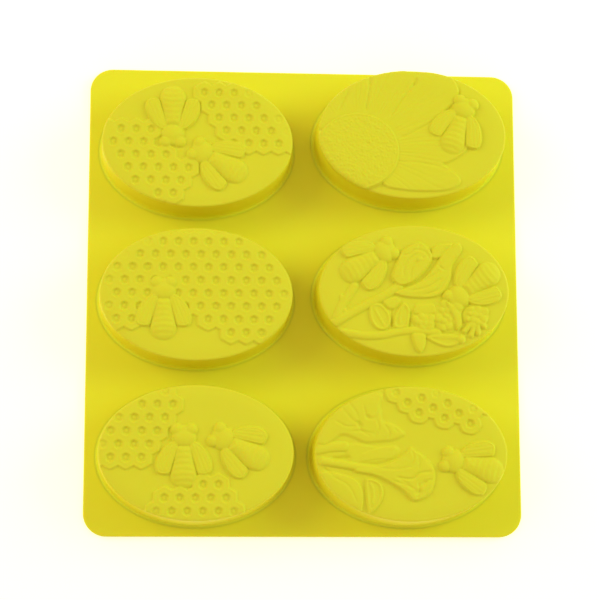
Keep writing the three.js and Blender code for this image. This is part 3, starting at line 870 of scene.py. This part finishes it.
def sheet_skin(name, profile, centres, sizes):
    """The sheet as a closed plate with an oval hole under each cup.

    It is six rectangles of rings, each ring part of the way from a hole to its rectangle's
    border, once on top and once underneath. A quarter round, a straight side and another
    quarter round go down the outline, and a small round leads into each hole.
    """
    low, high = np.array(sheet_low) / MM, np.array(sheet_high) / MM
    half = 0.5 * (high - low)[:2]
    middle = 0.5 * (high + low)[:2]
    radius, ease = sizes.sheet_corner_radius / MM, sizes.sheet_edge_round / MM
    columns_at = [middle[0] - half[0], 0.5 * (centres[0][0] + centres[1][0]), middle[0] + half[0]]
    rows_at = [
        middle[1] - half[1],
        0.25 * sum(c[1] for c in centres[2:]),
        0.25 * sum(c[1] for c in centres[:4]),
        middle[1] + half[1],
    ]
    core = half - radius

    def outline(p, inset):
        """Points on the border, moved onto the rounded outline less an inset."""
        nearest = np.clip(p - middle, -core, core)
        out = p - middle - nearest
        out /= np.maximum(np.hypot(out[:, 0], out[:, 1])[:, None], 1e-9)
        return middle + nearest + out * (radius - inset)

    def on_border(p):
        return (np.abs(np.abs(p - middle) - half) < 1e-6).any(axis=1)

    big, angle = concentric(SHEET_CELLS, SHEET_CELLS)
    rim = grid_rim(SHEET_CELLS, SHEET_CELLS)
    even = np.linspace(0, 1, SHEET_CELLS + 1)
    side = np.stack(np.meshgrid(even, even), axis=-1).reshape(-1, 2)[rim]
    around = np.arctan2((big * np.sin(angle)).ravel()[rim], (big * np.cos(angle)).ravel()[rim])
    mouth = profile.outside(profile.foot) - profile.wall
    shares = 1.0 - (1.0 - np.linspace(0, 1, SHEET_RINGS)) ** 1.3
    points, faces, total = [], [], 0

    def add(p, z):
        nonlocal total
        points.append(np.column_stack([p, np.broadcast_to(z, len(p))]))
        total += len(p)
        return total - len(p) + np.arange(len(p))

    for number, centre in enumerate(centres):
        column, row = number % 2, 2 - number // 2
        corner = np.array([columns_at[column], rows_at[row]])
        size = np.array([columns_at[column + 1], rows_at[row + 1]]) - corner
        border = corner + side * size
        outer = np.where(on_border(border)[:, None], outline(border, ease), border)
        for z, offset, flip in ((high[2], mouth, False), (low[2], mouth + profile.mouth, True)):
            hole = np.array(centre[:2]) + np.column_stack(profile.ring(offset, around))
            rings = [add(hole + (outer - hole) * share, z) for share in shares]
            for inner, following in zip(rings, rings[1:]):
                quads = strip_faces(inner, following)
                faces.append(quads[:, ::-1] if flip else quads)
            if flip:
                lower = rings[0]
            else:
                upper = rings[0]
        ring = lower
        lip_foot, lip_top = (mouth + profile.mouth, low[2]), (mouth, low[2] + profile.mouth)
        for offset, z in quarter(lip_foot, (mouth, low[2]), lip_top, 4):
            following = add(np.array(centre[:2]) + np.column_stack(profile.ring(offset, around)), z)
            faces.append(strip_faces(ring, following))
            ring = following
        faces.append(strip_faces(ring, upper))

        # The rounded outline, along this rectangle's share of it.
        outside = on_border(border)
        starts = np.flatnonzero(outside & np.roll(outside, -1))
        starts = starts[on_same_side(border, starts, middle, half)]
        rounded_side = np.vstack([
            quarter((ease, high[2]), (0.0, high[2]), (0.0, high[2] - ease), 4),
            [(0.0, low[2] + ease)],
            quarter((0.0, low[2] + ease), (0.0, low[2]), (ease, low[2]), 4),
        ])
        ring = add(outline(border, ease), high[2])
        for inset, z in rounded_side:
            following = add(outline(border, inset), z)
            faces.append(strip_faces(ring, following)[starts])
            ring = following

    # Points in one place, to half a micrometre, become one.
    everything, quads = np.vstack(points), np.vstack(faces)
    keys = np.round(everything * 2000.0).astype(np.int64)
    _, first, merged = np.unique(keys, axis=0, return_index=True, return_inverse=True)
    quads = merged.reshape(-1)[quads]
    used, quads = np.unique(quads, return_inverse=True)
    kept = everything[first][used]
    at_top = np.flatnonzero(np.abs(kept[:, 2] - high[2]) < 1e-6)
    holes = []
    for centre in centres:
        x, y = (kept[at_top, :2] - np.array(centre[:2])).T
        reach = np.hypot(x / (profile.half[0] + mouth), y / (profile.half[1] + mouth))
        holes.append(at_top[np.abs(reach - 1.0) < 1e-4])
    return make_piece(name, kept, [quads.reshape(-1, 4)], holes)


def on_same_side(border, starts, middle, half):
    """Whether each of some border points and the next lie on one side of the sheet's outline."""
    here, after = border[starts], border[(starts + 1) % len(border)]
    near = np.abs(np.abs(here - middle) - half) < 1e-6
    next_near = np.abs(np.abs(after - middle) - half) < 1e-6
    return (near & next_near).any(axis=1)


# ---------------------------------------------------------------------------------------------
# Materials

SILICONE = "mould silicone"
# Which output of Texture Coordinate is the place on the object.
OBJECT_PLACE = 3


class Value:
    """A node's output with arithmetic: each operation adds a Math node to its tree."""

    def __init__(self, nodes, socket):
        self.nodes = nodes
        self.socket = socket

    def _math(self, operation, first, second):
        return self.nodes.add("ShaderNodeMath", {"operation": operation}, {0: first, 1: second})

    def __add__(self, other):
        return self._math("ADD", self, other)

    def __radd__(self, other):
        return self._math("ADD", other, self)

    def __mul__(self, other):
        return self._math("MULTIPLY", self, other)

    def __rmul__(self, other):
        return self._math("MULTIPLY", other, self)


class Nodes:
    """The node tree of a new material."""

    def __init__(self, name):
        self.material = bpy.data.materials.new(name)
        self.material.use_nodes = True
        self.tree = self.material.node_tree
        self.tree.nodes.clear()

    def add(self, kind, settings=None, sockets=None, output=0):
        """A node of a kind. Its settings are set first, then its sockets get values or links."""
        node = self.tree.nodes.new(kind)
        for key, value in (settings or {}).items():
            setattr(node, key, value)
        for key, value in (sockets or {}).items():
            if isinstance(value, Value):
                self.tree.links.new(value.socket, node.inputs[key])
            else:
                node.inputs[key].default_value = value
        return Value(self, node.outputs[output] if node.outputs else None)

    def noise(self, place, scale, detail, roughness=0.5):
        """Noise with a scale in waves per metre."""
        return self.add("ShaderNodeTexNoise", {}, {
            "Vector": place, "Scale": scale, "Detail": detail, "Roughness": roughness,
        })

    def climb(self, value, low, high):
        """A smooth step from 0 to 1 as a value goes from low to high."""
        return self.add("ShaderNodeMapRange", {"interpolation_type": "SMOOTHSTEP"}, {
            "Value": value, "From Min": low, "From Max": high, "To Min": 0.0, "To Max": 1.0,
        })

    def mix(self, share, first, second):
        """One colour shading into another."""
        colours = {0: share, 6: first, 7: second}
        return self.add("ShaderNodeMix", {"data_type": "RGBA"}, colours, output=2)

    def finish(self, shader):
        self.add("ShaderNodeOutputMaterial", {}, {"Surface": shader})
        return self.material


def silicone_material(sizes, colours):
    """Satin yellow silicone: a little cloudy in colour, with a fine skin. The walls get painted shade, a
    darker, more orange yellow, and the cups' closed ends get painted sheen, a duller, paler yellow, and
    are rougher."""
    nodes = Nodes(SILICONE)
    place = nodes.add("ShaderNodeTexCoord", output=OBJECT_PLACE)
    height = nodes.add("ShaderNodeSeparateXYZ", {}, {"Vector": place}, output=2)
    # Painted sheen on the cup ends: their duller, paler yellow stands in for the sheen on them and the
    # bounce light they miss. The same mask also makes the ends rougher.
    cup_end_painted_sheen_mask = nodes.climb(height, sizes.cup_height - 0.0020, sizes.cup_height - 0.0004)
    # Painted shade: from just above the sheet the walls shade into a darker, more orange yellow that
    # stands in for the shade and bounce light on them.
    painted_wall_shade_mask = nodes.climb(height, sheet_high.z + 0.0005, sheet_high.z + 0.0065)
    cloud = nodes.noise(place, 22.0, 2.0)
    skin = nodes.noise(place, 1400.0, 3.0, 0.6)
    ripple = nodes.noise(place, 160.0, 2.0)
    dust = nodes.noise(place, 420.0, 4.0, 0.65)
    clouds = cloud * 0.6 + skin * 0.2
    sheet = nodes.mix(clouds, tuple(colours.silicone), tuple(colours.silicone_deep))
    # The sheet's colour, with the walls' painted shade mixed in above.
    sheet_and_painted_wall_shade = nodes.mix(painted_wall_shade_mask, sheet, tuple(colours.wall))
    # The cup ends' painted sheen colour, clouded at random.
    dull_clouds = cloud * 0.5 + dust * 0.3
    dull = nodes.mix(dull_clouds, tuple(colours.cup_end), tuple(colours.cup_end_deep))
    bump = nodes.add("ShaderNodeBump", {}, {
        "Strength": 0.35, "Distance": 1.0, "Height": skin * 0.00002 + ripple * 0.00008,
    })
    shader = nodes.add("ShaderNodeBsdfPrincipled", {}, {
        "Base Color": nodes.mix(cup_end_painted_sheen_mask, sheet_and_painted_wall_shade, dull),
        "Roughness": 0.4 + dust * 0.14 + cup_end_painted_sheen_mask * 0.1,
        "Normal": bump,
        "IOR": 1.41,
        "Specular IOR Level": 0.15,
        "Subsurface Weight": 0.3,
        "Subsurface Radius": (1.0, 0.4, 0.05),
        "Subsurface Scale": 0.0012,
    })
    return nodes.finish(shader)


def floor_material(colours):
    """Matt white paper with a barely visible grain. It glows faintly, so that it stays white."""
    nodes = Nodes("studio_paper")
    place = nodes.add("ShaderNodeTexCoord", output=OBJECT_PLACE)
    grain = nodes.noise(place, 60.0, 2.0)
    light = tuple(colours.floor)
    dark = tuple(0.985 * c for c in light[:3]) + (1.0,)
    shader = nodes.add("ShaderNodeBsdfPrincipled", {}, {
        "Base Color": nodes.mix(grain, light, dark),
        "Roughness": 0.9,
        "Specular IOR Level": 0.0,
        "Emission Color": tuple(colours.floor),
        "Emission Strength": 0.4,
    })
    return nodes.finish(shader)


# ---------------------------------------------------------------------------------------------
# Settings, operators and panel


def length_property(name, description, default):
    return bpy.props.FloatProperty(
        name=name, description=description, default=default, min=0.0, unit="LENGTH", precision=5)


def colour_property(name, description, default):
    return bpy.props.FloatVectorProperty(
        name=name, description=description, default=(*default, 1.0), size=4, min=0.0, max=1.0,
        subtype="COLOR")


class MouldSizes(bpy.types.PropertyGroup):
    """Sizes of the mould."""

    cup_length: length_property("Cup length", "Outside length of a cup at its closed end", 0.0825)
    cup_width: length_property("Cup width", "Outside width of a cup at its closed end", 0.0575)
    cup_height: length_property("Cup height", "From the open face to a floor's smooth ground", 0.022)
    cup_draft: length_property("Cup draft", "How far a wall spreads down to the sheet", 0.0009)
    wall_thickness: length_property("Wall", "Thickness of a cup's wall", 0.0022)
    floor_thickness: length_property("Floor", "Thickness of a cup's floor", 0.0022)
    floor_edge_round: length_property("Edge round", "Radius of a floor's rounded edge", 0.0013)
    shoulder: length_property("Shoulder", "How far a floor falls towards its rounded edge", 0.00045)
    shoulder_reach: length_property("Shoulder reach", "How wide the strip is that falls", 0.005)
    foot_fillet: length_property("Foot fillet", "Radius where a wall meets the sheet", 0.0015)
    cavity_fillet: length_property("Cavity fillet", "Radius in the corner of a cavity", 0.0015)
    mouth_round: length_property("Mouth round", "Radius of the edge of a cavity's mouth", 0.0004)
    sheet_corner_radius: length_property("Sheet corner", "Radius of the sheet's corners", 0.010)
    sheet_edge_round: length_property("Sheet edge", "Radius of the sheet's rounded edges", 0.0006)
    comb_pitch: length_property("Comb pitch", "From one honeycomb cell to the next", 0.0065)
    comb_border: length_property("Comb border", "Comb left round the outermost cells", 0.00165)
    comb_rise: length_property("Comb rise", "Height of the honeycomb above the ground", 0.00068)
    pit_mouth_radius: length_property("Pit mouth", "Radius of a pit at its top", 0.00208)
    pit_bottom_radius: length_property("Pit bottom", "Radius of a pit at its bottom", 0.0012)
    pit_depth: length_property("Pit depth", "Depth of a pit", 0.00078)
    softness: length_property("Softness", "How far the corners of the pictures are eased", 0.0002)
    undercut_reach: length_property("Undercut reach", "How far round shapes the ground sinks", 0.0008)
    undercut: bpy.props.FloatProperty(
        name="Undercut", description="How strongly the ground sinks round shapes", default=0.3,
        min=0.0)


class MouldColours(bpy.types.PropertyGroup):
    """Colours of the mould and its studio."""

    silicone: colour_property("Silicone", "The yellow of the sheet", (0.79, 0.735, 0.040))
    silicone_deep: colour_property("Silicone, deep", "The yellow in its clouds", (0.77, 0.710, 0.032))
    # Painted shade: the walls' darker, more orange yellow stands in for the shade and bounce light on
    # them.
    wall: colour_property("Walls", "The richer yellow of the cups' walls", (0.75, 0.650, 0.021))
    # Painted sheen: the cup ends' duller, paler yellows stand in for the sheen on them and the bounce
    # light they miss.
    cup_end: colour_property("Cup ends", "The duller yellow of closed ends", (0.70, 0.640, 0.044))
    cup_end_deep: colour_property("Cup ends, deep", "The dull yellow in its clouds", (0.68, 0.615, 0.037))
    floor: colour_property("Floor", "The paper under the mould", (0.97, 0.97, 0.97))
    light: colour_property("Light", "The light from all round", (1.0, 0.89, 0.62))
    light_left: colour_property("Light, left", "The yellowish light on the left", (0.93, 1.0, 0.50))
    light_right: colour_property("Light, right", "The green light on the right", (0.68, 1.0, 0.50))


def cup_centre(cup):
    """The middle of a cup's wall in the frame, in millimetres."""
    low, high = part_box(f"{cup}_cup_wall")
    return 0.5 * (low.x + high.x) / MM, 0.5 * (low.y + high.y) / MM


def dress(piece, *nodes):
    """Gives a piece the silicone and sets it in place of its CAD nodes."""
    scene = bpy.context.scene
    material = bpy.data.materials.get(SILICONE)
    if material is None:
        material = silicone_material(scene.mould_sizes, scene.mould_colours)
    piece.data.materials.append(material)
    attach(piece, "root")
    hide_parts(*nodes)


class MOULD_OT_cups(bpy.types.Operator):
    """Build the six cups with their pictures"""

    bl_idname = "mould.cups"
    bl_label = "Cups"

    def execute(self, context):
        sizes = context.scene.mould_sizes
        profile = CupProfile(sizes)
        for cup in CUPS:
            picture = Picture()
            PICTURES[cup](picture, sizes)
            picture.finish(sizes.softness / MM, sizes.undercut, sizes.undercut_reach / MM)
            piece = cup_skin(f"{cup}_cup_skin", picture, profile, cup_centre(cup))
            dress(piece, f"{cup}_cup_wall", f"{cup}_cup_floor")
        return {"FINISHED"}


class MOULD_OT_sheet(bpy.types.Operator):
    """Build the sheet that joins the cups"""

    bl_idname = "mould.sheet"
    bl_label = "Sheet"

    def execute(self, context):
        sizes = context.scene.mould_sizes
        centres = [cup_centre(cup) for cup in CUPS]
        dress(sheet_skin("sheet_skin", CupProfile(sizes), centres, sizes), "sheet")
        return {"FINISHED"}


class MOULD_OT_stage(bpy.types.Operator):
    """Build the floor, the lights and the camera"""

    bl_idname = "mould.stage"
    bl_label = "Studio"

    def execute(self, context):
        scene = context.scene
        colours = scene.mould_colours
        gap, reach = 0.0002, 3.0
        mesh = bpy.data.meshes.new("studio_floor")
        corners = [(x * reach, y * reach, -gap) for x, y in ((-1, -1), (1, -1), (1, 1), (-1, 1))]
        mesh.from_pydata(corners, [], [(0, 1, 2, 3)])
        floor = bpy.data.objects.new("studio_floor", mesh)
        floor.data.materials.append(floor_material(colours))
        scene.collection.objects.link(floor)

        world = bpy.data.worlds.new("studio_light")
        world.use_nodes = True
        background = world.node_tree.nodes["Background"]
        background.inputs["Color"].default_value = tuple(colours.light)
        background.inputs["Strength"].default_value = 0.71
        scene.world = world

        area_light("left", (-1.02, 0.42, 0.76), size=0.7, power=6.6, colour=colours.light_left)
        area_light("right", (1.16, 0.34, 0.64), size=0.7, power=9.8, colour=colours.light_right)

        data = bpy.data.cameras.new("camera")
        data.sensor_width, data.lens = 36.0, 110.8
        data.clip_start, data.clip_end = 0.01, 20.0
        camera = bpy.data.objects.new("camera", data)
        camera.location = (-0.06005, -0.13574, 0.80166)
        camera.rotation_euler = (0.1679, -0.0728, -0.0011)
        scene.collection.objects.link(camera)
        scene.camera = camera
        scene.view_settings.view_transform = "Standard"
        return {"FINISHED"}


def area_light(name, place, size, power, colour):
    """A square soft light aimed at the middle of the mould."""
    data = bpy.data.lights.new(name, "AREA")
    data.size, data.energy = size, power
    data.color = tuple(colour)[:3]
    light = bpy.data.objects.new(name, data)
    light.location = place
    x, y, z = place
    light.rotation_euler = (math.atan2(math.hypot(x, y), z), 0.0, math.atan2(x, -y))
    bpy.context.scene.collection.objects.link(light)


class MOULD_PT_panel(bpy.types.Panel):
    """The mould's sizes, colours and steps in the sidebar."""

    bl_idname = "MOULD_PT_panel"
    bl_label = "Soap mould"
    bl_space_type = "VIEW_3D"
    bl_region_type = "UI"
    bl_category = "Soap Mould"

    def draw(self, context):
        layout = self.layout
        for group in (context.scene.mould_sizes, context.scene.mould_colours):
            box = layout.box()
            for name in group.__annotations__:
                box.prop(group, name)
        for operator in (MOULD_OT_cups, MOULD_OT_sheet, MOULD_OT_stage):
            layout.operator(operator.bl_idname)


CLASSES = (MouldSizes, MouldColours, MOULD_OT_cups, MOULD_OT_sheet, MOULD_OT_stage, MOULD_PT_panel)


def register():
    for item in CLASSES:
        bpy.utils.register_class(item)
    bpy.types.Scene.mould_sizes = bpy.props.PointerProperty(type=MouldSizes)
    bpy.types.Scene.mould_colours = bpy.props.PointerProperty(type=MouldColours)


def unregister():
    del bpy.types.Scene.mould_colours
    del bpy.types.Scene.mould_sizes
    for item in reversed(CLASSES):
        bpy.utils.unregister_class(item)


def main():
    register()
    bpy.ops.mould.cups()
    bpy.ops.mould.sheet()
    bpy.ops.mould.stage()


if __name__ == "__main__":
    main()
